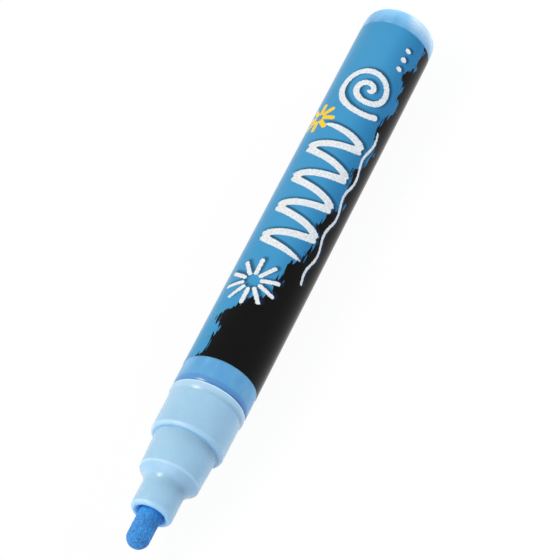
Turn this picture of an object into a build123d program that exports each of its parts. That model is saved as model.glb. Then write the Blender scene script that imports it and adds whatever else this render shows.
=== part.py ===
from build123d import *
import math
import os

# Liquid chalk marker lying on its side along X, nib towards +X, resting on the plane Z = 0.
# Sizes are in millimetres; stations are counted along the marker from the flat of the tail.

# Barrel and printed film
barrel_diameter = 14.88
barrel_wall = 1.05
barrel_length = 95.4
tail_wall = 1.6
tail_rounding = 2.2
gate_diameter = 2.6
gate_depth = 0.35
bevel_length = 1.3
bevel_depth = 0.08
film_thickness = 0.05
film_start = 4.75
bare_band = 5.35

# Front section, from the plug in the barrel to the mouth
plug_length = 7.0
plug_wall = 1.15
snap_height = 0.22
snap_length = 1.6
snap_setback = 3.0
lip_length = 1.0
lip_ramp = 1.2
seat_step = 0.27
seat_length = 7.8
cone_step = 1.02
cone_taper = 0.27
cone_length = 7.3
shoulder_length = 1.8
neck_wall = 1.05
neck_length = 6.35
flare_depth = 1.0
guide_length = 3.2
rib_count = 6
rib_width = 0.7
rib_length = 8.0
chamber_step = 0.35

# Nib
nib_diameter = 4.5
nib_length = 22.0
nib_reach = 7.15
nib_gap = 0.75

# Valve behind the nib
washer_thickness = 1.2
washer_depth = 4.8
washer_bore_diameter = 4.0
cage_tail = 4.9
cage_wall = 0.9
cage_floor = 1.0
window_count = 4
window_width = 2.8
window_land = 0.3
stem_diameter = 3.0
stem_pad_diameter = 3.7
stem_pad_length = 0.8
head_diameter = 6.0
head_flange = 1.2
boss_length = 0.9
pin_diameter = 1.8
wire_diameter = 0.45
spring_diameter = 4.6
spring_turns = 7

# Mixing ball
ball_diameter = 6.0

# Clearances
film_gap = 0.01
press_gap = 0.02
sliding_gap = 0.05
guide_gap = 0.12
sealing_gap = 0.02
ball_gap = 0.08
spring_gap = 0.05

# Stations along the marker
film_length = barrel_length - film_start - bare_band
plug_rear = barrel_length - plug_length
lip_front = barrel_length + lip_length
seat_rear = lip_front + lip_ramp
seat_front = seat_rear + seat_length
cone_front = seat_front + cone_length
neck_rear = cone_front + shoulder_length
mouth = neck_rear + neck_length
guide_front = mouth - flare_depth
guide_rear = guide_front - guide_length
chamber_front = guide_rear - rib_length
nib_tip = mouth + nib_reach
nib_rear = nib_tip - nib_length
washer_front = barrel_length + washer_depth
washer_rear = washer_front - washer_thickness
cage_front = washer_rear - press_gap
cage_rear = plug_rear - cage_tail
cage_length = cage_front - cage_rear
spring_floor = cage_rear + cage_floor

# Radii
barrel_radius = barrel_diameter / 2
bore_radius = barrel_radius - barrel_wall
film_inner_radius = barrel_radius + film_gap
film_radius = film_inner_radius + film_thickness
plug_radius = bore_radius - press_gap
cavity_radius = plug_radius - plug_wall
cage_radius = cavity_radius - press_gap
cage_bore_radius = cage_radius - cage_wall
lip_radius = barrel_radius
seat_radius = lip_radius - seat_step
cone_rear_radius = seat_radius - cone_step
cone_front_radius = cone_rear_radius - cone_taper
nib_radius = nib_diameter / 2
mouth_bore_radius = nib_radius + nib_gap
guide_radius = nib_radius + guide_gap
neck_radius = mouth_bore_radius + neck_wall
chamber_radius = mouth_bore_radius + chamber_step
washer_bore_radius = washer_bore_diameter / 2
stem_radius = stem_diameter / 2
head_radius = head_diameter / 2
pin_radius = pin_diameter / 2
ball_radius = ball_diameter / 2

# The marker's own planes: its profile lies in the plane of X and Z, sections stand across it
tail_x = -nib_tip / 2
axis_height = film_radius
marker_axis = Axis((tail_x, 0, axis_height), (1, 0, 0))
profile_plane = Plane(origin=(tail_x, 0, axis_height), x_dir=(1, 0, 0), z_dir=(0, -1, 0))


def section_plane(station):
    """The plane across the marker at a station, facing the nib."""
    return Plane(origin=(tail_x + station, 0, axis_height), x_dir=(0, 1, 0), z_dir=(1, 0, 0))


def ring(part, station, radius):
    """The circular edge of a turned piece that lies at a station and radius."""
    circles = part.edges().filter_by(GeomType.CIRCLE)
    return circles.sort_by(
        lambda edge: abs(edge.arc_center.X - tail_x - station) + abs(edge.radius - radius)
    )[0]


# Barrel: a tube closed at the tail, with a flat end, a groove for the snap ring and a bevelled mouth
snap_middle = barrel_length - snap_setback
groove_rear = snap_middle - snap_length / 2
groove_front = snap_middle + snap_length / 2
groove_radius = bore_radius + snap_height
tail_inner_rounding = max(tail_rounding - 0.5 * barrel_wall, 0.2 * tail_rounding)
with BuildPart() as barrel:
    with BuildSketch(profile_plane):
        with BuildLine():
            Polyline(
                (0, 0),
                (0, barrel_radius),
                (barrel_length - bevel_length, barrel_radius),
                (barrel_length, barrel_radius - bevel_depth),
                (barrel_length, bore_radius),
                (groove_front, bore_radius),
                (groove_front - snap_height, groove_radius),
                (groove_rear + snap_height, groove_radius),
                (groove_rear, bore_radius),
                (tail_wall, bore_radius),
                (tail_wall, 0),
                close=True,
            )
        make_face()
    revolve(axis=marker_axis)
    fillet(ring(barrel, 0, barrel_radius), tail_rounding)
    fillet(ring(barrel, tail_wall, bore_radius), tail_inner_rounding)
    fillet(ring(barrel, barrel_length, barrel_radius - bevel_depth), 0.12 * barrel_wall)
    with BuildSketch(section_plane(0)):
        Circle(gate_diameter / 2)
    extrude(amount=gate_depth, mode=Mode.SUBTRACT)
barrel.part.label = "barrel"

# Printed film: a sleeve round the barrel that leaves its tail and its front band bare
with BuildPart() as label_sleeve:
    with BuildSketch(section_plane(film_start)):
        Circle(film_radius)
        Circle(film_inner_radius, mode=Mode.SUBTRACT)
    extrude(amount=film_length)
label_sleeve.part.label = "label_sleeve"

# Front section: plug with snap ring, lip, cap seat, stepped cone, shoulder and neck in one moulding,
# with a flared mouth, a collar that guides the nib and ribs behind it
with BuildPart() as front_section:
    with BuildSketch(profile_plane):
        with BuildLine():
            Polyline(
                (plug_rear, cavity_radius),
                (plug_rear, plug_radius),
                (groove_rear + sealing_gap, plug_radius),
                (groove_rear + snap_height + sealing_gap, groove_radius - sealing_gap),
                (groove_front - snap_height - sealing_gap, groove_radius - sealing_gap),
                (groove_front - sealing_gap, plug_radius),
                (barrel_length, plug_radius),
                (barrel_length, lip_radius),
                (lip_front, lip_radius),
                (seat_rear, seat_radius),
                (seat_front, seat_radius),
                (seat_front, cone_rear_radius),
                (cone_front, cone_front_radius),
                (neck_rear, neck_radius),
                (mouth, neck_radius),
                (mouth, mouth_bore_radius),
                (guide_front, guide_radius),
                (guide_rear, guide_radius),
                (guide_rear, mouth_bore_radius),
                (chamber_front, mouth_bore_radius),
                (chamber_front, chamber_radius),
                (washer_front, chamber_radius),
                (washer_front, cavity_radius),
                close=True,
            )
        make_face()
    revolve(axis=marker_axis)
    fillet(ring(front_section, barrel_length, lip_radius), 0.2 * lip_length)
    fillet(ring(front_section, lip_front, lip_radius), 0.4 * lip_length)
    fillet(ring(front_section, seat_rear, seat_radius), lip_ramp)
    fillet(ring(front_section, seat_front, seat_radius), 0.8 * cone_step)
    fillet(ring(front_section, seat_front, cone_rear_radius), 0.16 * cone_step)
    fillet(ring(front_section, cone_front, cone_front_radius), 0.2 * shoulder_length)
    fillet(ring(front_section, neck_rear, neck_radius), 1.4 * shoulder_length)
    fillet(ring(front_section, mouth, neck_radius), 0.7 * neck_wall)
    fillet(ring(front_section, mouth, mouth_bore_radius), 0.36 * neck_wall)
    with BuildSketch(section_plane(chamber_front)):
        with PolarLocations(mouth_bore_radius, rib_count):
            Rectangle(2 * (mouth_bore_radius - nib_radius), rib_width)
        Circle(nib_radius + sliding_gap, mode=Mode.SUBTRACT)
        Circle(mouth_bore_radius + 0.4 * (neck_radius - mouth_bore_radius), mode=Mode.INTERSECT)
    extrude(amount=rib_length)
front_section.part.label = "front_section"

# Nib: a round fibre rod with a bullet tip and a chamfered back
with BuildPart() as nib:
    with BuildSketch(profile_plane):
        with BuildLine():
            Line((nib_tip, 0), (nib_rear, 0))
            Line((nib_rear, 0), (nib_rear, nib_radius))
            Line((nib_rear, nib_radius), (nib_tip - nib_radius, nib_radius))
            RadiusArc((nib_tip - nib_radius, nib_radius), (nib_tip, 0), nib_radius)
        make_face()
    revolve(axis=marker_axis)
    chamfer(ring(nib, nib_rear, nib_radius), 0.15 * nib_radius)
nib.part.label = "nib"

# Valve cage: a cup whose side windows, behind the plug, let the ink in
window_length = plug_rear - spring_floor - window_land
with BuildPart() as valve_cage:
    with BuildSketch(section_plane(cage_rear)):
        Circle(cage_radius)
    extrude(amount=cage_length)
    with BuildSketch(section_plane(spring_floor)):
        Circle(cage_bore_radius)
    extrude(amount=cage_length - cage_floor, mode=Mode.SUBTRACT)
    with BuildSketch(section_plane(spring_floor)):
        with PolarLocations(cage_radius - cage_wall / 2, window_count, start_angle=45):
            Rectangle(3 * cage_wall, window_width)
        Circle(cage_bore_radius - sliding_gap, mode=Mode.SUBTRACT)
    extrude(amount=window_length, mode=Mode.SUBTRACT)
    with BuildSketch(section_plane(cage_rear)):
        Circle(pin_radius + 2 * sliding_gap)
    extrude(amount=cage_floor, mode=Mode.SUBTRACT)
    chamfer(ring(valve_cage, cage_rear, cage_radius), 0.3 * cage_floor)
valve_cage.part.label = "valve_cage"

# Valve seat: the soft washer held between the cage and the front section
with BuildPart() as valve_seat:
    with BuildSketch(section_plane(washer_rear)):
        Circle(cage_radius)
        Circle(washer_bore_radius, mode=Mode.SUBTRACT)
    extrude(amount=washer_thickness - press_gap)
valve_seat.part.label = "valve_seat"

# Valve rod: guide pin, spring flange, sealing cone that closes the washer, stem and front pad
cone_touch = washer_rear - sealing_gap
cone_rear = cone_touch - (head_radius - washer_bore_radius)
cone_end = cone_touch + (washer_bore_radius - stem_radius)
flange_rear = cone_rear - head_flange
pin_rear = spring_floor - 0.5 * cage_floor
boss_radius = spring_diameter / 2 - wire_diameter - 2 * sliding_gap
with BuildPart() as valve_rod:
    with BuildSketch(profile_plane):
        with BuildLine():
            Polyline(
                (pin_rear, 0),
                (pin_rear, pin_radius),
                (flange_rear - boss_length, pin_radius),
                (flange_rear - boss_length, boss_radius),
                (flange_rear, boss_radius),
                (flange_rear, head_radius),
                (cone_rear, head_radius),
                (cone_end, stem_radius),
                (nib_rear - stem_pad_length, stem_radius),
                (nib_rear - stem_pad_length, stem_pad_diameter / 2),
                (nib_rear, stem_pad_diameter / 2),
                (nib_rear, 0),
                close=True,
            )
        make_face()
    revolve(axis=marker_axis)
    fillet(ring(valve_rod, pin_rear, pin_radius), 0.4 * pin_radius)
    fillet(ring(valve_rod, nib_rear - stem_pad_length, stem_pad_diameter / 2), 0.3 * stem_pad_length)
valve_rod.part.label = "valve_rod"

# Valve spring: one wire wound between the cage's floor and the rod's flange, as arcs of a quarter turn
coil_radius = (spring_diameter - wire_diameter) / 2
coil_start = spring_floor + spring_gap + wire_diameter / 2
coil_height = flange_rear - spring_gap - wire_diameter / 2 - coil_start
coil_steps = 4 * spring_turns


def coil_point(step):
    """A point of the wire's centre line, after this many quarter turns."""
    angle = step * math.pi / 2
    advance = tail_x + coil_start + coil_height * step / coil_steps
    return Vector(advance, coil_radius * math.cos(angle), axis_height + coil_radius * math.sin(angle))


def coil_direction(step):
    """The wire's direction at that point."""
    angle = step * math.pi / 2
    rise = coil_height / coil_steps / (math.pi / 2)
    return Vector(rise, -coil_radius * math.sin(angle), coil_radius * math.cos(angle)).normalized()


def coil_joint(step):
    """The point where the two arcs of one quarter turn meet."""
    start = coil_point(step)
    end = coil_point(step + 1)
    start_direction = coil_direction(step)
    end_direction = coil_direction(step + 1)
    chord = end - start
    along = chord.dot(start_direction + end_direction)
    spread = 2 * (1 - start_direction.dot(end_direction))
    reach = (math.sqrt(along * along + spread * chord.dot(chord)) - along) / spread
    return (start + start_direction * reach + end - end_direction * reach) * 0.5


with BuildPart() as valve_spring:
    with BuildLine() as wire_path:
        for step in range(coil_steps):
            joint = coil_joint(step)
            TangentArc(coil_point(step), joint, tangent=coil_direction(step))
            TangentArc(coil_point(step + 1), joint, tangent=coil_direction(step + 1) * -1)
    with BuildSketch(Plane(origin=coil_point(0), z_dir=coil_direction(0))):
        Circle(wire_diameter / 2)
    sweep(path=wire_path.line)
valve_spring.part.label = "valve_spring"

fine_points = [coil_point(step / 8) for step in range(8 * coil_steps + 1)]
turn = 32
coil_gap = min(
    (fine_points[i] - fine_points[j]).length - wire_diameter
    for i in range(0, len(fine_points), 4)
    for j in range(i + turn // 2, len(fine_points))
)
print("valve spring, least gap between turns:", round(coil_gap, 3), "mm")

# Mixing ball: lies on the bottom of the bore at the tail, free to roll along it
ball_station = tail_wall + tail_inner_rounding + ball_radius
ball_height = axis_height - bore_radius + ball_radius + ball_gap
with BuildPart() as mixing_ball:
    with Locations((tail_x + ball_station, 0, ball_height)):
        Sphere(ball_radius)
mixing_ball.part.label = "mixing_ball"

os.makedirs("parts", exist_ok=True)
for piece in (
    barrel,
    label_sleeve,
    front_section,
    nib,
    valve_cage,
    valve_seat,
    valve_rod,
    valve_spring,
    mixing_ball,
):
    export_step(piece.part, f"parts/{piece.part.label}.step")
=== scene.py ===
"""A liquid chalk marker lying on a white studio floor, its blue nib towards +X and its cap off."""
import itertools
import math

import bmesh
import bpy
import numpy as np
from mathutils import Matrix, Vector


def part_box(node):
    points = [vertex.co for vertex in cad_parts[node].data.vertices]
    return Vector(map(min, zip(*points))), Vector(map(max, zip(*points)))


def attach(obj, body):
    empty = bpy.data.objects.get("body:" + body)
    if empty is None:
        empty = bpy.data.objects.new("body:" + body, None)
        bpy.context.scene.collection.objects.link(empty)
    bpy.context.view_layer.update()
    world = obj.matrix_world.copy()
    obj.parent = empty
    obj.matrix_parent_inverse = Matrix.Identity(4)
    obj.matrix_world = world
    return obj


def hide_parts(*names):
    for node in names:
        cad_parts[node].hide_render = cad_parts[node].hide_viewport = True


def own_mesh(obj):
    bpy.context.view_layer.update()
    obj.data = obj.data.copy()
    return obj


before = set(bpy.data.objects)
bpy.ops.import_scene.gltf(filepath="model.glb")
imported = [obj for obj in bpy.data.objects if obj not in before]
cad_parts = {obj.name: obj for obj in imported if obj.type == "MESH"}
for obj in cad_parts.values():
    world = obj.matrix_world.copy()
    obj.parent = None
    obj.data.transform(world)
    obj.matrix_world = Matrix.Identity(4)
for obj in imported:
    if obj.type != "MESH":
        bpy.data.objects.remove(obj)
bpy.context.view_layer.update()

# Barrel
# A tube of translucent polypropylene, closed by a flat tail with a rounded edge and a small moulding gate.
# Blue chalk ink inside shows through where it is bare, at the tail and in the band before the front section.
mm = 0.001
barrel_low, barrel_high = (np.array(corner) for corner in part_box("barrel"))
tail_x = barrel_low[0]
axis_z = (barrel_low[2] + barrel_high[2]) / 2
barrel_radius = (barrel_high[2] - barrel_low[2]) / 2
barrel_length = barrel_high[0] - barrel_low[0]
barrel_wall = 1.05 * mm
bore_radius = barrel_radius - barrel_wall
bore_end_rounding = 1.6 * mm
tail_wall = 1.6 * mm
tail_rounding = 1.9 * mm
tail_draft = 0.25 * mm
tail_draft_length = 2.8 * mm
tail_draft_rounding = 6 * mm
gate_radius = 1.3 * mm
gate_depth = 0.35 * mm
gate_floor_rounding = 0.08 * mm
gate_edge_rounding = 0.12 * mm
roll_length = 0.85 * mm
roll_slope = math.radians(33)
roll_rounding = roll_length / 2 / math.tan(roll_slope / 2)
roll_drop = roll_length / 2 * math.tan(roll_slope)
roll_end_rounding = 0.05 * mm
snap_height = 0.22 * mm
snap_rear = barrel_length - 3.8 * mm
snap_front = barrel_length - 2.2 * mm


def rounded_outline(corners, steps=10, least=1e-8):
    """Corners are (station, radius, rounding). Each is cut back along both its sides by rounding / tan(half
    its angle) and filled by the arc that is tangent there, which at a share t of its sweep a is, from its
    centre, (start sin((1 - t) a) + end sin(t a)) / sin a. A corner with no rounding stays a point."""
    corners = np.array(corners)
    point, rounding = corners[:, :2], corners[:, 2:]
    back = np.roll(point, 1, axis=0) - point
    ahead = np.roll(point, -1, axis=0) - point
    back /= np.linalg.norm(back, axis=1, keepdims=True)
    ahead /= np.linalg.norm(ahead, axis=1, keepdims=True)
    half = np.arccos(np.clip((back * ahead).sum(axis=1, keepdims=True), -1, 1)) / 2
    inward = back + ahead
    inward /= np.maximum(np.linalg.norm(inward, axis=1, keepdims=True), 1e-12)
    centre = point + inward * rounding / np.sin(half)
    start = point + back * rounding / np.tan(half) - centre
    end = point + ahead * rounding / np.tan(half) - centre
    share = np.linspace(0, 1, steps + 1)[None, :, None]
    sweep = np.maximum(np.pi - 2 * half, 1e-9)[:, :, None]
    arc = np.sin((1 - share) * sweep) * start[:, None] + np.sin(share * sweep) * end[:, None]
    points = (centre[:, None] + arc / np.sin(sweep)).reshape(-1, 2)
    moved = np.linalg.norm(points - np.roll(points, 1, axis=0), axis=1) > least
    return points[moved]


def turned_grid(outline, around=240):
    """The surface (station, radius sin turn, radius cos turn): an outline carried round the marker's axis."""
    turn = np.linspace(0, 2 * np.pi, around, endpoint=False)
    station, radius = outline[:, :1], outline[:, 1:]
    return np.stack(
        [tail_x + station + 0 * turn, radius * np.sin(turn), axis_z + radius * np.cos(turn)],
        axis=-1,
    )


def wrapped_piece(name, grid, merge=1e-8, crisp=math.radians(40)):
    """A mesh of a grid that closes on itself both ways. Points that fall together, as on the axis, are
    merged, faces and edges left with no area are dropped, and edges over the crisp angle are shaded as
    corners."""
    rows, columns = grid.shape[:2]
    index = np.arange(rows * columns).reshape(rows, columns)
    ahead = np.roll(index, -1, axis=0)
    faces = np.stack([index, ahead, np.roll(ahead, -1, axis=1), np.roll(index, -1, axis=1)], axis=-1)
    mesh = bpy.data.meshes.new(name)
    mesh.from_pydata(grid.reshape(-1, 3).tolist(), [], faces.reshape(-1, 4).tolist())
    shell = bmesh.new()
    shell.from_mesh(mesh)
    bmesh.ops.remove_doubles(shell, verts=shell.verts, dist=merge)
    bmesh.ops.dissolve_degenerate(shell, edges=shell.edges, dist=merge / 10)
    bmesh.ops.delete(shell, geom=[edge for edge in shell.edges if edge.is_wire], context="EDGES")
    bmesh.ops.recalc_face_normals(shell, faces=shell.faces)
    shell.to_mesh(mesh)
    shell.free()
    mesh.shade_smooth()
    mesh.set_sharp_from_angle(angle=crisp)
    piece = bpy.data.objects.new(name, mesh)
    bpy.context.scene.collection.objects.link(piece)
    return piece


def add_node(tree, kind, **settings):
    """A new node with these settings."""
    made = tree.nodes.new(kind)
    for setting, value in settings.items():
        setattr(made, setting, value)
    return made


def feed(tree, socket, value):
    """Links a socket's value, or sets a plain one."""
    if isinstance(value, bpy.types.NodeSocket):
        tree.links.new(value, socket)
    else:
        socket.default_value = value


def reckon(tree, operation, *values):
    """The result of a Math node."""
    made = add_node(tree, "ShaderNodeMath", operation=operation)
    for socket, value in zip(made.inputs, values):
        feed(tree, socket, value)
    return made.outputs[0]


def split(tree, place):
    """The X, Y and Z of a place."""
    made = add_node(tree, "ShaderNodeSeparateXYZ")
    tree.links.new(place, made.inputs[0])
    return made.outputs["X"], made.outputs["Y"], made.outputs["Z"]


def fade(tree, value, low, high, at_low=0.0, at_high=1.0):
    """A smooth step of a value from at_low to at_high."""
    made = add_node(tree, "ShaderNodeMapRange", interpolation_type="SMOOTHSTEP")
    for socket, number in zip(made.inputs, (value, low, high, at_low, at_high)):
        feed(tree, socket, number)
    return made.outputs[0]


def tint(tree, share, under, over):
    """Two colours mixed by a share."""
    made = add_node(tree, "ShaderNodeMix", data_type="RGBA")
    feed(tree, made.inputs[0], share)
    feed(tree, made.inputs[6], under)
    feed(tree, made.inputs[7], over)
    return made.outputs[2]


def ink(red, green, blue):
    """A colour written as it is seen, 0 to 255, in the linear values that a shader takes."""
    seen = np.array([red, green, blue]) / 255
    linear = np.where(seen <= 0.04045, seen / 12.92, ((seen + 0.055) / 1.055) ** 2.4)
    return (*linear.tolist(), 1.0)


def new_group(name, inputs, outputs, vectors=()):
    """A shader node group with these number and vector sockets."""
    tree = bpy.data.node_groups.new(name, "ShaderNodeTree")
    for socket in inputs:
        tree.interface.new_socket(socket, in_out="INPUT", socket_type="NodeSocketFloat")
    for socket in vectors:
        tree.interface.new_socket(socket, in_out="INPUT", socket_type="NodeSocketVector")
    for socket in outputs:
        tree.interface.new_socket(socket, in_out="OUTPUT", socket_type="NodeSocketFloat")
    return tree, add_node(tree, "NodeGroupInput").outputs, add_node(tree, "NodeGroupOutput").inputs


def use_group(tree, group, **values):
    """The first output of a group with these inputs; names are written with underscores."""
    made = add_node(tree, "ShaderNodeGroup", node_tree=group)
    for socket, value in values.items():
        feed(tree, made.inputs[socket.replace("_", " ")], value)
    return made.outputs[0]


# grains: noise whose grains have about this size in metres, drawn out by the stretch
grains, given, result = new_group("plastic_grains", ["Size", "Detail"], ["Height"], ["Place", "Stretch"])
drawn = add_node(grains, "ShaderNodeVectorMath", operation="DIVIDE")
feed(grains, drawn.inputs[0], given["Place"])
feed(grains, drawn.inputs[1], given["Stretch"])
noise = add_node(grains, "ShaderNodeTexNoise")
feed(grains, noise.inputs["Vector"], drawn.outputs[0])
feed(grains, noise.inputs["Scale"], reckon(grains, "DIVIDE", 1.0, given["Size"]))
feed(grains, noise.inputs["Detail"], given["Detail"])
feed(grains, result["Height"], noise.outputs["Fac"])


def speckle(tree, place, size, detail=3.0, stretch=(1, 1, 1)):
    """The grains placed in a material."""
    return use_group(tree, grains, Place=place, Size=size, Detail=detail, Stretch=stretch)


def new_material(name):
    """A material with its shader and the object's own coordinates."""
    made = bpy.data.materials.new(name)
    made.use_nodes = True
    tree = made.node_tree
    shader = tree.nodes["Principled BSDF"]
    place = add_node(tree, "ShaderNodeTexCoord").outputs["Object"]
    return made, tree, shader, place


def relief(tree, shader, height, depth):
    """A bump of this depth in metres on a shader's normal."""
    made = add_node(tree, "ShaderNodeBump")
    made.inputs["Strength"].default_value = 1.0
    made.inputs["Distance"].default_value = depth
    tree.links.new(height, made.inputs["Height"])
    tree.links.new(made.outputs[0], shader.inputs["Normal"])


barrel_outline = rounded_outline(
    [
        (gate_depth, 0, 0),
        (gate_depth, gate_radius, gate_floor_rounding),
        (0, gate_radius, gate_edge_rounding),
        (0, barrel_radius - tail_draft, tail_rounding),
        (tail_draft_length, barrel_radius, tail_draft_rounding),
        (barrel_length - roll_length / 2, barrel_radius, roll_rounding),
        (barrel_length, barrel_radius - roll_drop, roll_end_rounding),
        (barrel_length, bore_radius, 0),
        (snap_front, bore_radius, 0),
        (snap_front - snap_height, bore_radius + snap_height, 0),
        (snap_rear + snap_height, bore_radius + snap_height, 0),
        (snap_rear, bore_radius, 0),
        (tail_wall, bore_radius, bore_end_rounding),
        (tail_wall, 0, 0),
    ]
)
barrel = wrapped_piece("barrel_tube", turned_grid(barrel_outline))

band_blues = ink(80, 152, 202), ink(104, 170, 212)
tail_blues = ink(114, 185, 229), ink(144, 199, 236)
sheen_white = ink(220, 234, 244)
rolled_shade_blue = ink(76, 140, 198)
lip_groove_shade_blue = ink(76, 134, 190)
tail_dulling = 0.15
inked_plastic, tree, shader, place = new_material("inked_polypropylene")
x, y, _ = split(tree, place)
streaks = speckle(tree, place, size=2.2 * mm, detail=4.0, stretch=(3, 1, 1))
mottle = speckle(tree, place, size=3.5 * mm)
wisps = speckle(tree, place, size=1.0 * mm, detail=2.0, stretch=(1, 3, 3))

# Painted sheen: pale wisps on the tail's rounded +Y side stand in for a soft reflection of light there
painted_sheen = fade(tree, y, 1.4 * mm, 3.4 * mm)
painted_sheen = reckon(tree, "MULTIPLY", painted_sheen, fade(tree, x, tail_x + 0.1 * mm, tail_x + 0.6 * mm))
painted_sheen = reckon(tree, "MULTIPLY", painted_sheen, fade(tree, wisps, 0.3, 0.7, 0.5, 1.0))
tail_colour = tint(tree, fade(tree, mottle, 0.35, 0.7), *tail_blues)
tail_colour = tint(tree, painted_sheen, tail_colour, sheen_white)
bare_tail = fade(tree, x, tail_x + 5.5 * mm, tail_x + 0.5 * mm)
barrel_colour = tint(tree, fade(tree, streaks, 0.3, 0.75), *band_blues)
barrel_colour = tint(tree, bare_tail, barrel_colour, tail_colour)

# Painted shade: the rolled front end is a deeper blue, and deepest at its edge in the joint by the lip
for start, end, colour in ((1.5 * mm, 1.1 * mm, rolled_shade_blue), (0.6 * mm, 0.2 * mm, lip_groove_shade_blue)):
    front_shade = fade(tree, x, barrel_high[0] - start, barrel_high[0] - end)
    barrel_colour = tint(tree, front_shade, barrel_colour, colour)
tree.links.new(barrel_colour, shader.inputs["Base Color"])
gloss = fade(tree, mottle, 0.3, 0.7, 0.18, 0.25)
tree.links.new(reckon(tree, "MULTIPLY_ADD", bare_tail, tail_dulling, gloss), shader.inputs["Roughness"])
shader.inputs["Subsurface Weight"].default_value = 0.25
shader.inputs["Subsurface Radius"].default_value = (0.6, 0.9, 1.0)
shader.inputs["Subsurface Scale"].default_value = 1.2 * mm
relief(tree, shader, mottle, depth=0.03 * mm)
barrel.data.materials.append(inked_plastic)
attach(barrel, "marker_body")
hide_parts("barrel")

# Printed film
# A glossy plastic film 0.05 mm thick, printed in blue, black, white and yellow and rolled round the barrel.
# Its free edge overlaps the other on the hidden side, where it stands up by nearly its own thickness.
film_low, film_high = (np.array(corner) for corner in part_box("label_sleeve"))
film_start = film_low[0] - tail_x
film_end = film_high[0] - tail_x
film_radius = (film_high[2] - film_low[2]) / 2
film_thickness = 0.05 * mm
lap_height = 0.9 * film_thickness
facing = math.radians(15)
seam_turn = math.radians(-120)
seam_width = math.radians(26)


def film_surface(stations=18, around=320):
    """A sleeve (station, turn): radius film_radius, raised by the lap's height over the seam, where it
    rises as the smooth step 3 t t - 2 t t t and ends in a drop; the inner skin is one thickness below."""
    turn = np.linspace(0, 2 * np.pi, around, endpoint=False)
    from_seam = np.mod(turn - seam_turn + np.pi, 2 * np.pi) - np.pi
    lap = np.clip((from_seam + seam_width / 2) / seam_width, 0, 1)
    lap = lap * lap * (3 - 2 * lap) * (from_seam < seam_width / 2)
    outside = film_radius + lap_height * lap
    inside = np.full(around, film_radius - film_thickness)
    station = np.linspace(film_start, film_end, stations)
    station = np.concatenate([station, station[::-1]])
    radius = np.where((np.arange(2 * stations) < stations)[:, None], outside, inside)
    return np.stack(
        [tail_x + station[:, None] + 0 * turn, radius * np.sin(turn), axis_z + radius * np.cos(turn)], axis=-1
    )


def past_ends(tree, along, start, end):
    """How far a place lies before the start or after the end, else nothing."""
    before = reckon(tree, "SUBTRACT", start, along)
    after = reckon(tree, "SUBTRACT", along, end)
    return reckon(tree, "MAXIMUM", reckon(tree, "MAXIMUM", before, after), 0.0)


def far(tree, first, second):
    """The length of the hypotenuse."""
    squares = [reckon(tree, "MULTIPLY", side, side) for side in (first, second)]
    return reckon(tree, "SQRT", reckon(tree, "ADD", *squares))


def fold(tree, value, period):
    """A value brought by whole periods to within half a period of nothing."""
    half = reckon(tree, "MULTIPLY", period, 0.5)
    return reckon(tree, "WRAP", value, half, reckon(tree, "MULTIPLY", half, -1.0))


def from_centre(tree, given):
    """How far a place lies from a group's centre: along, around and straight."""
    ahead = reckon(tree, "SUBTRACT", given["Along"], given["Centre Along"])
    aside = reckon(tree, "SUBTRACT", given["Around"], given["Centre Around"])
    return ahead, aside, far(tree, ahead, aside)


# wave: distance in millimetres from a stroke that swings as a sine, with round ends
wave, given, result = new_group(
    "wave_stroke",
    ["Along", "Around", "Start", "End", "Middle", "Swing", "Length", "Half Width"],
    ["Distance"],
)
phase = reckon(wave, "DIVIDE", reckon(wave, "SUBTRACT", given["Along"], given["Start"]), given["Length"])
phase = reckon(wave, "MULTIPLY", phase, 2 * math.pi)
height = reckon(wave, "MULTIPLY_ADD", reckon(wave, "SINE", phase), given["Swing"], given["Middle"])
slope = reckon(wave, "DIVIDE", reckon(wave, "MULTIPLY", given["Swing"], 2 * math.pi), given["Length"])
slope = reckon(wave, "MULTIPLY", reckon(wave, "COSINE", phase), slope)
gap = reckon(wave, "ABSOLUTE", reckon(wave, "SUBTRACT", given["Around"], height))
gap = reckon(wave, "DIVIDE", gap, far(wave, slope, 1.0))
gap = far(wave, gap, past_ends(wave, given["Along"], given["Start"], given["End"]))
feed(wave, result["Distance"], reckon(wave, "SUBTRACT", gap, given["Half Width"]))

# burst: distance from short strokes that point out from a centre
burst, given, result = new_group(
    "burst_strokes",
    ["Along", "Around", "Centre Along", "Centre Around", "Inner", "Outer", "Sector", "Half Width"],
    ["Distance"],
)
ahead, aside, reach = from_centre(burst, given)
bearing = fold(burst, reckon(burst, "ARCTAN2", aside, ahead), given["Sector"])
outward = reckon(burst, "MULTIPLY", reach, reckon(burst, "COSINE", bearing))
sideways = reckon(burst, "MULTIPLY", reach, reckon(burst, "SINE", bearing))
gap = far(burst, sideways, past_ends(burst, outward, given["Inner"], given["Outer"]))
feed(burst, result["Distance"], reckon(burst, "SUBTRACT", gap, given["Half Width"]))

# swirl: distance from a spiral whose turns are one pitch apart
swirl, given, result = new_group(
    "swirl_stroke",
    ["Along", "Around", "Centre Along", "Centre Around", "Pitch", "Reach", "Half Width"],
    ["Distance"],
)
ahead, aside, reach = from_centre(swirl, given)
bearing = reckon(swirl, "DIVIDE", reckon(swirl, "ARCTAN2", aside, ahead), 2 * math.pi)
off_turn = reckon(swirl, "SUBTRACT", reach, reckon(swirl, "MULTIPLY", bearing, given["Pitch"]))
off_turn = fold(swirl, off_turn, given["Pitch"])
past = past_ends(swirl, reckon(swirl, "SUBTRACT", reach, off_turn), 0.0, given["Reach"])
past = reckon(swirl, "MULTIPLY", past, reckon(swirl, "DIVIDE", reach, given["Pitch"]))
gap = far(swirl, off_turn, reckon(swirl, "MULTIPLY", past, 2 * math.pi))
feed(swirl, result["Distance"], reckon(swirl, "SUBTRACT", gap, given["Half Width"]))

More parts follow.
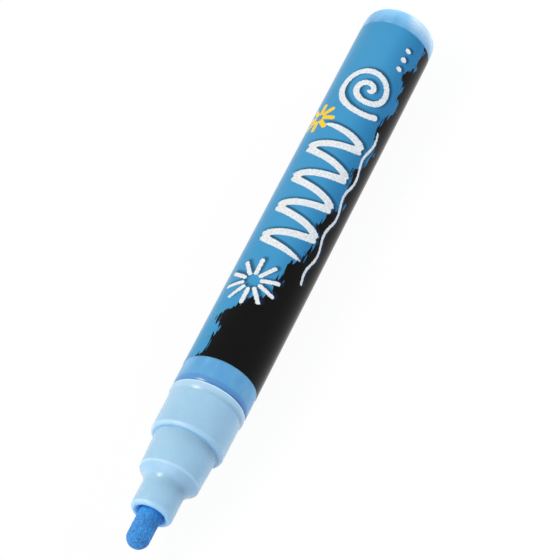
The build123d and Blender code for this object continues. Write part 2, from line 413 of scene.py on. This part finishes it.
# dots: distance from a row of round dots
dots, given, result = new_group(
    "dotted_row", ["Along", "Around", "Start", "End", "Middle", "Spacing", "Radius"], ["Distance"]
)
step = fold(dots, reckon(dots, "SUBTRACT", given["Along"], given["Start"]), given["Spacing"])
gap = far(dots, step, reckon(dots, "SUBTRACT", given["Around"], given["Middle"]))
gap = far(dots, gap, past_ends(dots, given["Along"], given["Start"], given["End"]))
feed(dots, result["Distance"], reckon(dots, "SUBTRACT", gap, given["Radius"]))

# drawing: distance from the nearest white stroke of the print
# Its sizes are millimetres along from the film's rear edge and around from the line that faces the camera
drawing, given, result = new_group("chalk_drawing", ["Along", "Around"], ["Distance"])
burst_size = dict(Inner=1.9, Outer=5.0, Sector=math.pi / 5, Half_Width=0.42)
strokes = [
    (swirl, dict(Centre_Along=17.0, Centre_Around=-0.5, Pitch=2.9, Reach=6.1, Half_Width=0.62)),
    (wave, dict(Start=28.0, End=58.0, Middle=-1.2, Swing=4.2, Length=7.5, Half_Width=0.85)),
    (wave, dict(Start=24.0, End=62.0, Middle=5.6, Swing=0.5, Length=9.5, Half_Width=0.3)),
    (burst, dict(Centre_Along=67.0, Centre_Around=-3.4, **burst_size)),
    (dots, dict(Start=4.0, End=9.0, Middle=3.0, Spacing=2.5, Radius=0.62)),
]
distances = [
    use_group(drawing, shape, Along=given["Along"], Around=given["Around"], **sizes)
    for shape, sizes in strokes
]
nearest = distances[0]
for distance in distances[1:]:
    nearest = reckon(drawing, "MINIMUM", nearest, distance)
feed(drawing, result["Distance"], nearest)

film = wrapped_piece("printed_film", film_surface())
lit_side_blues = ink(60, 140, 187), ink(70, 150, 194)
shaded_side_blues = ink(40, 117, 165), ink(48, 125, 172)
print_black = ink(9, 9, 10)
chalk_whites = ink(210, 213, 215), ink(231, 233, 234)
chalk_shadow = ink(16, 40, 66)
spark_yellow = ink(240, 200, 46)
printed, tree, shader, place = new_material("printed_gloss_film")
x, y, z = split(tree, place)
along = reckon(tree, "MULTIPLY", reckon(tree, "SUBTRACT", x, film_low[0]), 1 / mm)
turn = reckon(tree, "ARCTAN2", y, reckon(tree, "SUBTRACT", z, axis_z))
turn = fold(tree, reckon(tree, "SUBTRACT", turn, facing), 2 * math.pi)
around = reckon(tree, "MULTIPLY", turn, film_radius / mm)
dust = speckle(tree, place, size=0.35 * mm, detail=2.0)
cloud = speckle(tree, place, size=9 * mm)
bristles = speckle(tree, place, size=0.45 * mm, stretch=(9, 1, 1))

# The dark field, in the drawing's millimetres: its edge runs in a double wave drawn with a dry brush
# and comes round the barrel towards the nib, and a plainer edge bounds it on the hidden side
wave_length = 13.0
wave_swing = 1.1
small_wave_length = 5.2
small_wave_start = 0.7
small_wave_swing = 0.35
front_edge = 5.8
back_edge = -16.0
back_swing = 1.4
brush_spread = 4.5
ripple = reckon(tree, "SINE", reckon(tree, "MULTIPLY", along, 2 * math.pi / wave_length))
small_ripple = reckon(tree, "MULTIPLY_ADD", along, 2 * math.pi / small_wave_length, small_wave_start)
small_ripple = reckon(tree, "SINE", small_ripple)
edge = reckon(tree, "MULTIPLY_ADD", ripple, wave_swing, front_edge)
edge = reckon(tree, "MULTIPLY_ADD", small_ripple, small_wave_swing, edge)
edge = reckon(tree, "SUBTRACT", edge, fade(tree, along, 30.0, 66.0, 0.0, 3.4))
edge = reckon(tree, "SUBTRACT", edge, fade(tree, along, 60.0, 81.0, 0.0, 9.0))
into_dark = reckon(tree, "SUBTRACT", around, edge)
behind = reckon(tree, "SUBTRACT", reckon(tree, "MULTIPLY_ADD", ripple, back_swing, back_edge), around)
into_dark = reckon(tree, "MAXIMUM", into_dark, behind)
into_dark = reckon(tree, "MULTIPLY_ADD", reckon(tree, "SUBTRACT", bristles, 0.5), brush_spread, into_dark)
# Painted shade: the blue field turns deeper towards the +Y side, away from the key light
lit_side_field = tint(tree, cloud, *lit_side_blues)
shaded_side_field = tint(tree, cloud, *shaded_side_blues)
field = tint(tree, fade(tree, around, -2.0, 5.0), lit_side_field, shaded_side_field)
field = tint(tree, fade(tree, into_dark, -0.05, 0.05), field, print_black)

# White chalk strokes with a soft dark shadow behind them, and one yellow burst
shadow_offset = 0.45
chalk_roughness = 0.5
shadow = use_group(
    tree,
    drawing,
    Along=reckon(tree, "ADD", along, shadow_offset),
    Around=reckon(tree, "SUBTRACT", around, shadow_offset),
)
field = tint(tree, fade(tree, shadow, -0.3, 0.55, 0.7, 0.0), field, chalk_shadow)
chalky = use_group(tree, drawing, Along=along, Around=around)
chalky = reckon(tree, "MULTIPLY_ADD", reckon(tree, "SUBTRACT", dust, 0.5), chalk_roughness, chalky)
chalk = tint(tree, fade(tree, dust, 0.35, 0.65), *chalk_whites)
field = tint(tree, fade(tree, chalky, 0.05, -0.05), field, chalk)
spark_centre = dict(Centre_Along=25.8, Centre_Around=-7.7)
spark_size = dict(Inner=1.3, Outer=3.2, Sector=math.pi / 4, Half_Width=0.5)
spark = use_group(tree, burst, Along=along, Around=around, **spark_centre, **spark_size)
field = tint(tree, fade(tree, spark, 0.05, -0.05), field, spark_yellow)
tree.links.new(field, shader.inputs["Base Color"])
tree.links.new(fade(tree, cloud, 0.3, 0.7, 0.14, 0.2), shader.inputs["Roughness"])
shader.inputs["Specular IOR Level"].default_value = 0.08
relief(tree, shader, cloud, depth=0.02 * mm)
film.data.materials.append(printed)
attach(film, "marker_body")
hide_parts("label_sleeve")

# Front section
# One pale blue polypropylene moulding, snapped into the barrel: lip, cap seat, cone, shoulder and neck.
# Its rounded edges carry painted highlights. Ink stains the flared mouth round the nib, painted paler as if
# lit through the wall; inner corners carry painted shade.
front_low, front_high = (np.array(corner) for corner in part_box("front_section"))
mouth = front_high[0] - tail_x
plug_rear = front_low[0] - tail_x
seat_step = 0.27 * mm
cone_step = 1.02 * mm
cone_taper = 0.27 * mm
lip_radius = barrel_radius
seat_radius = lip_radius - seat_step
cone_rear_radius = seat_radius - cone_step
cone_front_radius = cone_rear_radius - cone_taper
neck_radius = 4.05 * mm
mouth_radius = 3.0 * mm
guide_radius = 2.37 * mm
rib_radius = 2.3 * mm
rib_half_turn = 0.35 * mm / mouth_radius
plug_room = 0.02 * mm
plug_wall = 1.15 * mm
plug_radius = bore_radius - plug_room
cavity_radius = plug_radius - plug_wall
chamber_step = 0.35 * mm
chamber_radius = mouth_radius + chamber_step
snap_room = 0.05 * mm
lip_length = 1.15 * mm
ramp_length = 0.62 * mm
seat_reach = 10.0 * mm
cone_length = 7.3 * mm
shoulder_length = 1.8 * mm
washer_reach = 4.8 * mm
flare_depth = 1.0 * mm
guide_length = 3.2 * mm
rib_length = 8.0 * mm
lip_front = barrel_length + lip_length
seat_rear = lip_front + ramp_length
seat_front = barrel_length + seat_reach
cone_front = seat_front + cone_length
neck_rear = cone_front + shoulder_length
washer_front = barrel_length + washer_reach
guide_front = mouth - flare_depth
guide_rear = guide_front - guide_length
chamber_front = guide_rear - rib_length
plug_inner_rounding = 0.15 * mm
plug_outer_rounding = 0.3 * mm
lip_rear_rounding = 0.2 * mm
lip_rounding = 2.1 * mm
ramp_rounding = 1.0 * mm
seat_edge_rounding = 0.816 * mm
seat_foot_rounding = 0.163 * mm
cone_edge_rounding = 0.36 * mm
shoulder_rounding = 2.52 * mm
rim_outer_rounding = 0.735 * mm
rim_inner_rounding = 0.378 * mm
flare_rounding = 0.5 * mm
front_outline = rounded_outline(
    [
        (plug_rear, cavity_radius, plug_inner_rounding),
        (plug_rear, plug_radius, plug_outer_rounding),
        (snap_rear + snap_room, plug_radius, 0),
        (snap_rear + snap_height + snap_room, plug_radius + snap_height - snap_room, 0),
        (snap_front - snap_height - snap_room, plug_radius + snap_height - snap_room, 0),
        (snap_front - snap_room, plug_radius, 0),
        (barrel_length, plug_radius, 0),
        (barrel_length, lip_radius, lip_rear_rounding),
        (lip_front, lip_radius, lip_rounding),
        (seat_rear, seat_radius, ramp_rounding),
        (seat_front, seat_radius, seat_edge_rounding),
        (seat_front, cone_rear_radius, seat_foot_rounding),
        (cone_front, cone_front_radius, cone_edge_rounding),
        (neck_rear, neck_radius, shoulder_rounding),
        (mouth, neck_radius, rim_outer_rounding),
        (mouth, mouth_radius, rim_inner_rounding),
        (guide_front, guide_radius, flare_rounding),
        (guide_rear, guide_radius, 0),
        (guide_rear, mouth_radius, 0),
        (chamber_front, mouth_radius, 0),
        (chamber_front, chamber_radius, 0),
        (washer_front, chamber_radius, 0),
        (washer_front, cavity_radius, 0),
    ]
)


def ribbed_bore(grid, outline, ribs=6, touch=1e-6):
    """The grid with its bore drawn in to the ribs' radius where the turn is within half a rib of one."""
    turn = np.linspace(0, 2 * np.pi, grid.shape[1], endpoint=False)
    sector = 2 * np.pi / ribs
    on_rib = np.abs(np.mod(turn, sector) - sector / 2) < rib_half_turn
    in_bore = (np.abs(outline[:, 1] - mouth_radius) < touch) & (outline[:, 0] < guide_rear + touch)
    radius = np.where(in_bore[:, None] & on_rib, rib_radius, outline[:, 1:])
    return np.stack([grid[:, :, 0], radius * np.sin(turn), axis_z + radius * np.cos(turn)], axis=-1)


front = wrapped_piece("front_moulding", ribbed_bore(turned_grid(front_outline), front_outline))
pale_blues = ink(154, 193, 219), ink(158, 197, 222)
stain_and_glow_blue = ink(96, 190, 255)
corner_shade_blue = ink(104, 180, 229)
moulded, tree, shader, place = new_material("pale_blue_polypropylene")
x, y, z = split(tree, place)
haze = speckle(tree, place, size=4 * mm)
grain = speckle(tree, place, size=0.12 * mm, detail=2.0)
pale = tint(tree, fade(tree, haze, 0.35, 0.65), *pale_blues)

# Painted highlights: paler rings where the lip, the lip's rear edge, the seat's edge, the shoulder, the
# cone's edge
# and the mouth catch the light: station, half width and colour
station = reckon(tree, "SUBTRACT", x, tail_x)
for highlight_station, half_width, highlight_colour in (
    (barrel_length + 0.7 * mm, 1.2 * mm, ink(170, 205, 229)),
    (barrel_length + 0.1 * mm, 0.22 * mm, ink(216, 238, 254)),
    (seat_front - 0.4 * mm, 0.6 * mm, ink(175, 211, 238)),
    (cone_front + 0.9 * mm, 1.2 * mm, ink(164, 203, 232)),
    (cone_front - 0.05 * mm, 0.36 * mm, ink(178, 213, 238)),
    (mouth - 0.2 * mm, 0.7 * mm, ink(173, 214, 245)),
):
    off_highlight = reckon(tree, "ABSOLUTE", reckon(tree, "SUBTRACT", station, highlight_station))
    pale = tint(tree, fade(tree, off_highlight, half_width, 0.3 * half_width), pale, highlight_colour)

# Ink stains the inside of the mouth, in a blue made pale as a painted glow of light through the wall
from_axis = far(tree, y, reckon(tree, "SUBTRACT", z, axis_z))
stain_and_glow = fade(tree, from_axis, mouth_radius + 0.6 * mm, mouth_radius - 0.1 * mm)
pale = tint(tree, stain_and_glow, pale, stain_and_glow_blue)
# Painted shade: a deeper blue where ambient occlusion finds the inner corners
corner_shade = add_node(tree, "ShaderNodeAmbientOcclusion", samples=8)
corner_shade.inputs["Distance"].default_value = 3 * mm
pale = tint(tree, fade(tree, corner_shade.outputs["AO"], 0.95, 0.45, 0.0, 0.7), pale, corner_shade_blue)
tree.links.new(pale, shader.inputs["Base Color"])
tree.links.new(fade(tree, grain, 0.3, 0.7, 0.24, 0.29), shader.inputs["Roughness"])
shader.inputs["Subsurface Weight"].default_value = 0.4
shader.inputs["Subsurface Radius"].default_value = (0.85, 0.95, 1.0)
shader.inputs["Subsurface Scale"].default_value = 1.4 * mm
relief(tree, shader, grain, depth=0.004 * mm)
front.data.materials.append(moulded)
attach(front, "marker_body")
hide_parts("front_section")

# Valve
# Natural acetal cage and rod, a soft black washer, a steel spring and a loose steel ball, all shut inside.
# The spring is wound here, because it shortens as the nib is pressed; the others are the CAD solids.
spring_low, spring_high = (np.array(corner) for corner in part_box("valve_spring"))
spring_length = spring_high[0] - spring_low[0]
wire_radius = 0.225 * mm
coil_turns = 7
coil_radius = (spring_high[1] - spring_low[1]) / 2 - wire_radius


def wound_wire(stations=337, around=14):
    """A round section carried along the helix (advance, R cos turn, R sin turn). Its two axes are the spoke
    from the coil's axis and the spoke's cross product with the wire's direction; a point closes each end."""
    share = np.linspace(0, 1, stations)
    turn = 2 * np.pi * coil_turns * share
    advance = spring_low[0] + wire_radius + (spring_length - 2 * wire_radius) * share
    spoke = np.stack([0 * turn, np.cos(turn), np.sin(turn)], axis=1)
    centre = coil_radius * spoke + np.stack([advance, 0 * turn, axis_z + 0 * turn], axis=1)
    direction = np.gradient(centre, axis=0)
    across = np.cross(spoke, direction / np.linalg.norm(direction, axis=1, keepdims=True))
    ends = ((1, 1), (0, 0))
    centre, spoke, across = (np.pad(rows, ends, mode="edge")[:, None] for rows in (centre, spoke, across))
    radius = np.pad(np.full(stations, wire_radius), 1)[:, None, None]
    section = np.linspace(0, 2 * np.pi, around, endpoint=False)[:, None]
    return centre + radius * (np.cos(section) * spoke + np.sin(section) * across)


def fine_finish(name, size, colours, gloss):
    """A material whose colour and roughness change a little from grain to grain."""
    made, tree, shader, place = new_material(name)
    grain = speckle(tree, place, size)
    tree.links.new(tint(tree, grain, *colours), shader.inputs["Base Color"])
    tree.links.new(fade(tree, grain, 0.3, 0.7, *gloss), shader.inputs["Roughness"])
    return made, shader


spring = wrapped_piece("wound_spring", wound_wire())
acetal, _ = fine_finish("natural_acetal", 1.5 * mm, (ink(226, 230, 232), ink(240, 242, 242)), (0.38, 0.5))
seal, _ = fine_finish("seal_rubber", 0.6 * mm, (ink(38, 38, 40), ink(54, 54, 57)), (0.6, 0.75))
steel, shader = fine_finish("drawn_steel", 0.2 * mm, (ink(190, 190, 194), ink(214, 214, 217)), (0.2, 0.32))
shader.inputs["Metallic"].default_value = 1.0
for node, finish in (
    ("valve_cage", acetal),
    ("valve_rod", acetal),
    ("valve_seat", seal),
    ("mixing_ball", steel),
):
    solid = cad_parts[node]
    solid.data.materials.clear()
    solid.data.materials.append(finish)
spring.data.materials.append(steel)
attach(spring, "marker_body")
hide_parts("valve_spring")
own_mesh(spring)

# Nib
# A rod of bonded fibres soaked in blue ink, ground to a round bullet tip and standing loose in the mouth.
# Its skin is finely felted, with fibre ends that catch the light.
nib_low, nib_high = (np.array(corner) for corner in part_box("nib"))
nib_rear = nib_low[0] - tail_x
nib_tip = nib_high[0] - tail_x
nib_radius = (nib_high[2] - nib_low[2]) / 2
nib_chamfer = 0.15 * nib_radius
nib_back_radius = 0.85 * nib_radius
felt_start = mouth - 3 * mm
felt_grain = 0.2 * mm
felt_depth = 0.09 * mm


def nib_outline(hidden=24, shown=110, rounded=48):
    """A rod with a chamfered back and a tip that is a quarter circle of its own radius, with closer stations
    where the felt shows."""
    quarter = np.linspace(0, np.pi / 2, rounded)
    hidden_rod = np.linspace(nib_rear + nib_chamfer, felt_start, hidden)[:-1]
    shown_rod = np.linspace(felt_start, nib_tip - nib_radius, shown)
    stations = np.concatenate([hidden_rod, shown_rod])
    rod = np.stack([stations, np.full(len(stations), nib_radius)], axis=1)
    tip_stations = nib_tip - nib_radius + nib_radius * np.sin(quarter)
    tip = np.stack([tip_stations, nib_radius * np.cos(quarter)], axis=1)
    return np.concatenate([[(nib_rear, 0), (nib_rear, nib_back_radius)], rod, tip[1:]])


def felt_noise(points, grain, seed):
    """Smooth noise from 0 to 1: random numbers on a lattice one grain apart, blended between the eight
    corners round each point by the smooth step 3 t t - 2 t t t of its place t between them."""
    place = (points - points.reshape(-1, 3).min(axis=0)) / grain
    cell = np.floor(place).astype(int)
    step = place - cell
    step = step * step * (3 - 2 * step)
    lattice = np.random.default_rng(seed).random(tuple(cell.reshape(-1, 3).max(axis=0) + 2))
    total = np.zeros(points.shape[:-1])
    for corner in itertools.product((0, 1), repeat=3):
        share = np.prod(np.where(np.array(corner) == 1, step, 1 - step), axis=-1)
        total += share * lattice[tuple(np.moveaxis(cell + corner, -1, 0))]
    return total


def felted_grid(around=200):
    """The nib's turned surface, sunk along its normal by the depth of the felt times six tenths of noise of
    one grain and four tenths of noise half its size. The normal is the outline's tangent turned by a right
    angle."""
    outline = nib_outline()
    grid = turned_grid(outline, around)
    pits = 0.6 * felt_noise(grid, felt_grain, seed=3) + 0.4 * felt_noise(grid, felt_grain / 2, seed=4)
    pits[[0, -1]] = 0.5
    ahead = np.gradient(outline, axis=0)
    ahead /= np.linalg.norm(ahead, axis=1, keepdims=True)
    turn = np.linspace(0, 2 * np.pi, around, endpoint=False)
    outward = ahead[:, :1]
    normal = np.stack([-ahead[:, 1:] + 0 * turn, outward * np.sin(turn), outward * np.cos(turn)], axis=-1)
    normal[0] = (-1, 0, 0)
    normal[-1] = (1, 0, 0)
    return grid - felt_depth * pits[:, :, None] * normal


nib = wrapped_piece("fibre_nib", felted_grid())
fibre_blues = ink(2, 90, 170), ink(80, 167, 237)
glow_blue = ink(44, 160, 236)
tuft_size = 0.2 * mm
felted, tree, shader, place = new_material("inked_fibre")
x, _, _ = split(tree, place)
felt = speckle(tree, place, size=0.16 * mm)
tufts = add_node(tree, "ShaderNodeTexVoronoi", feature="SMOOTH_F1")
tufts.inputs["Scale"].default_value = 1 / tuft_size
tree.links.new(place, tufts.inputs["Vector"])
fibre_colour = tint(tree, fade(tree, felt, 0.35, 0.65), *fibre_blues)

# Painted light: the fibres turn a brighter blue where they leave the mouth, standing in for light through its
# wall
painted_glow = fade(tree, x, front_high[0] + 1.8 * mm, front_high[0] + 0.2 * mm, 0.0, 0.5)
fibre_colour = tint(tree, painted_glow, fibre_colour, glow_blue)
tree.links.new(fibre_colour, shader.inputs["Base Color"])
shader.inputs["Roughness"].default_value = 0.8
shader.inputs["Sheen Weight"].default_value = 0.04
relief(tree, shader, reckon(tree, "ADD", felt, tufts.outputs["Distance"]), depth=0.06 * mm)
nib.data.materials.append(felted)
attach(nib, "nib_plunger")
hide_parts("nib")

# Floor
# A white studio sweep of matt paper. It is seen as white, also by what shines,
# and keeps a faint shadow of the marker.
floor_size = 6
paper_white = (0.9, 0.9, 0.9, 1)
white_share = 0.95
bpy.ops.mesh.primitive_plane_add(size=floor_size)
floor = bpy.context.object
floor.name = "studio_floor"
paper = bpy.data.materials.new("white_sweep")
paper.use_nodes = True
tree = paper.node_tree
tree.nodes.remove(tree.nodes["Principled BSDF"])
matt = add_node(tree, "ShaderNodeBsdfDiffuse")
matt.inputs["Color"].default_value = paper_white
white = add_node(tree, "ShaderNodeEmission")
white.inputs["Strength"].default_value = 1.0


def seen_rays(tree):
    """1 for what is seen directly, mirrored or through something clear, and 0 for light on a surface."""
    rays = add_node(tree, "ShaderNodeLightPath").outputs
    seen = reckon(tree, "MAXIMUM", rays["Is Camera Ray"], rays["Is Glossy Ray"])
    return reckon(tree, "MAXIMUM", seen, rays["Is Transmission Ray"])


blend = add_node(tree, "ShaderNodeMixShader")
tree.links.new(reckon(tree, "MULTIPLY", seen_rays(tree), white_share), blend.inputs[0])
tree.links.new(matt.outputs[0], blend.inputs[1])
tree.links.new(white.outputs[0], blend.inputs[2])
tree.links.new(blend.outputs[0], tree.nodes["Material Output"].inputs["Surface"])
floor.data.materials.append(paper)

# Light
# A white room gives a cool soft fill, a little stronger from the left and from the tail's side.
# A warm soft box hangs high on the left, and a weak one stands before the nib. A low one behind on the
# right lights the marker without being mirrored in it.
room_white = (1, 1, 1, 1)
cool_fill = (0.8, 1.0, 1.2, 1)
warm_lamp = (1.12, 1.0, 0.84)
white_lamp = (1, 1, 1)
world = bpy.data.worlds.new("studio_room")
bpy.context.scene.world = world
world.use_nodes = True
tree = world.node_tree
x, y, _ = split(tree, add_node(tree, "ShaderNodeTexCoord").outputs["Generated"])
ambient = fade(tree, x, -0.9, 0.9, 0.48, 0.38)
ambient = reckon(tree, "MULTIPLY", ambient, fade(tree, y, -0.9, 0.9, 1.05, 0.85))
seen = seen_rays(tree)
room = tree.nodes["Background"].inputs
tree.links.new(reckon(tree, "MAXIMUM", ambient, seen), room["Strength"])
tree.links.new(tint(tree, seen, cool_fill, room_white), room["Color"])


def soft_box(name, place, width, height, power, colour=white_lamp, mirrored=True):
    """A rectangular lamp turned towards the middle of the marker, which shiny surfaces mirror or do not."""
    lamp = bpy.data.lights.new(name, "AREA")
    lamp.shape = "RECTANGLE"
    lamp.size = width
    lamp.size_y = height
    lamp.energy = power
    lamp.color = colour
    holder = bpy.data.objects.new(name, lamp)
    holder.location = place
    holder.visible_glossy = mirrored
    away = np.array(place) / np.linalg.norm(place)
    holder.rotation_euler = (math.acos(away[2]), 0, math.atan2(away[0], -away[1]))
    bpy.context.scene.collection.objects.link(holder)


soft_box("key_box", (0.2, -0.42, 0.62), width=0.44, height=0.25, power=3.6, colour=warm_lamp)
soft_box("rear_box", (-0.75, 0.32, 0.25), width=0.3, height=0.3, power=5.6, mirrored=False)
soft_box("nib_box", (0.7, -0.15, 0.32), width=0.6, height=0.3, power=1.1)

# Camera
# A long lens above the nib's side, looking down on the marker at the photograph's angle.
camera_place = (290.36 * mm, 125.34 * mm, 469.12 * mm)
elevation = math.radians(55.7)
bearing = math.radians(113.2)
camera_data = bpy.data.cameras.new("studio_camera")
camera_data.sensor_width = 36
camera_data.lens = 190.8
camera = bpy.data.objects.new("studio_camera", camera_data)
camera.location = camera_place
camera.rotation_euler = (math.pi / 2 - elevation, 0, bearing)
bpy.context.scene.collection.objects.link(camera)
bpy.context.scene.camera = camera
bpy.context.scene.view_settings.view_transform = "Standard"
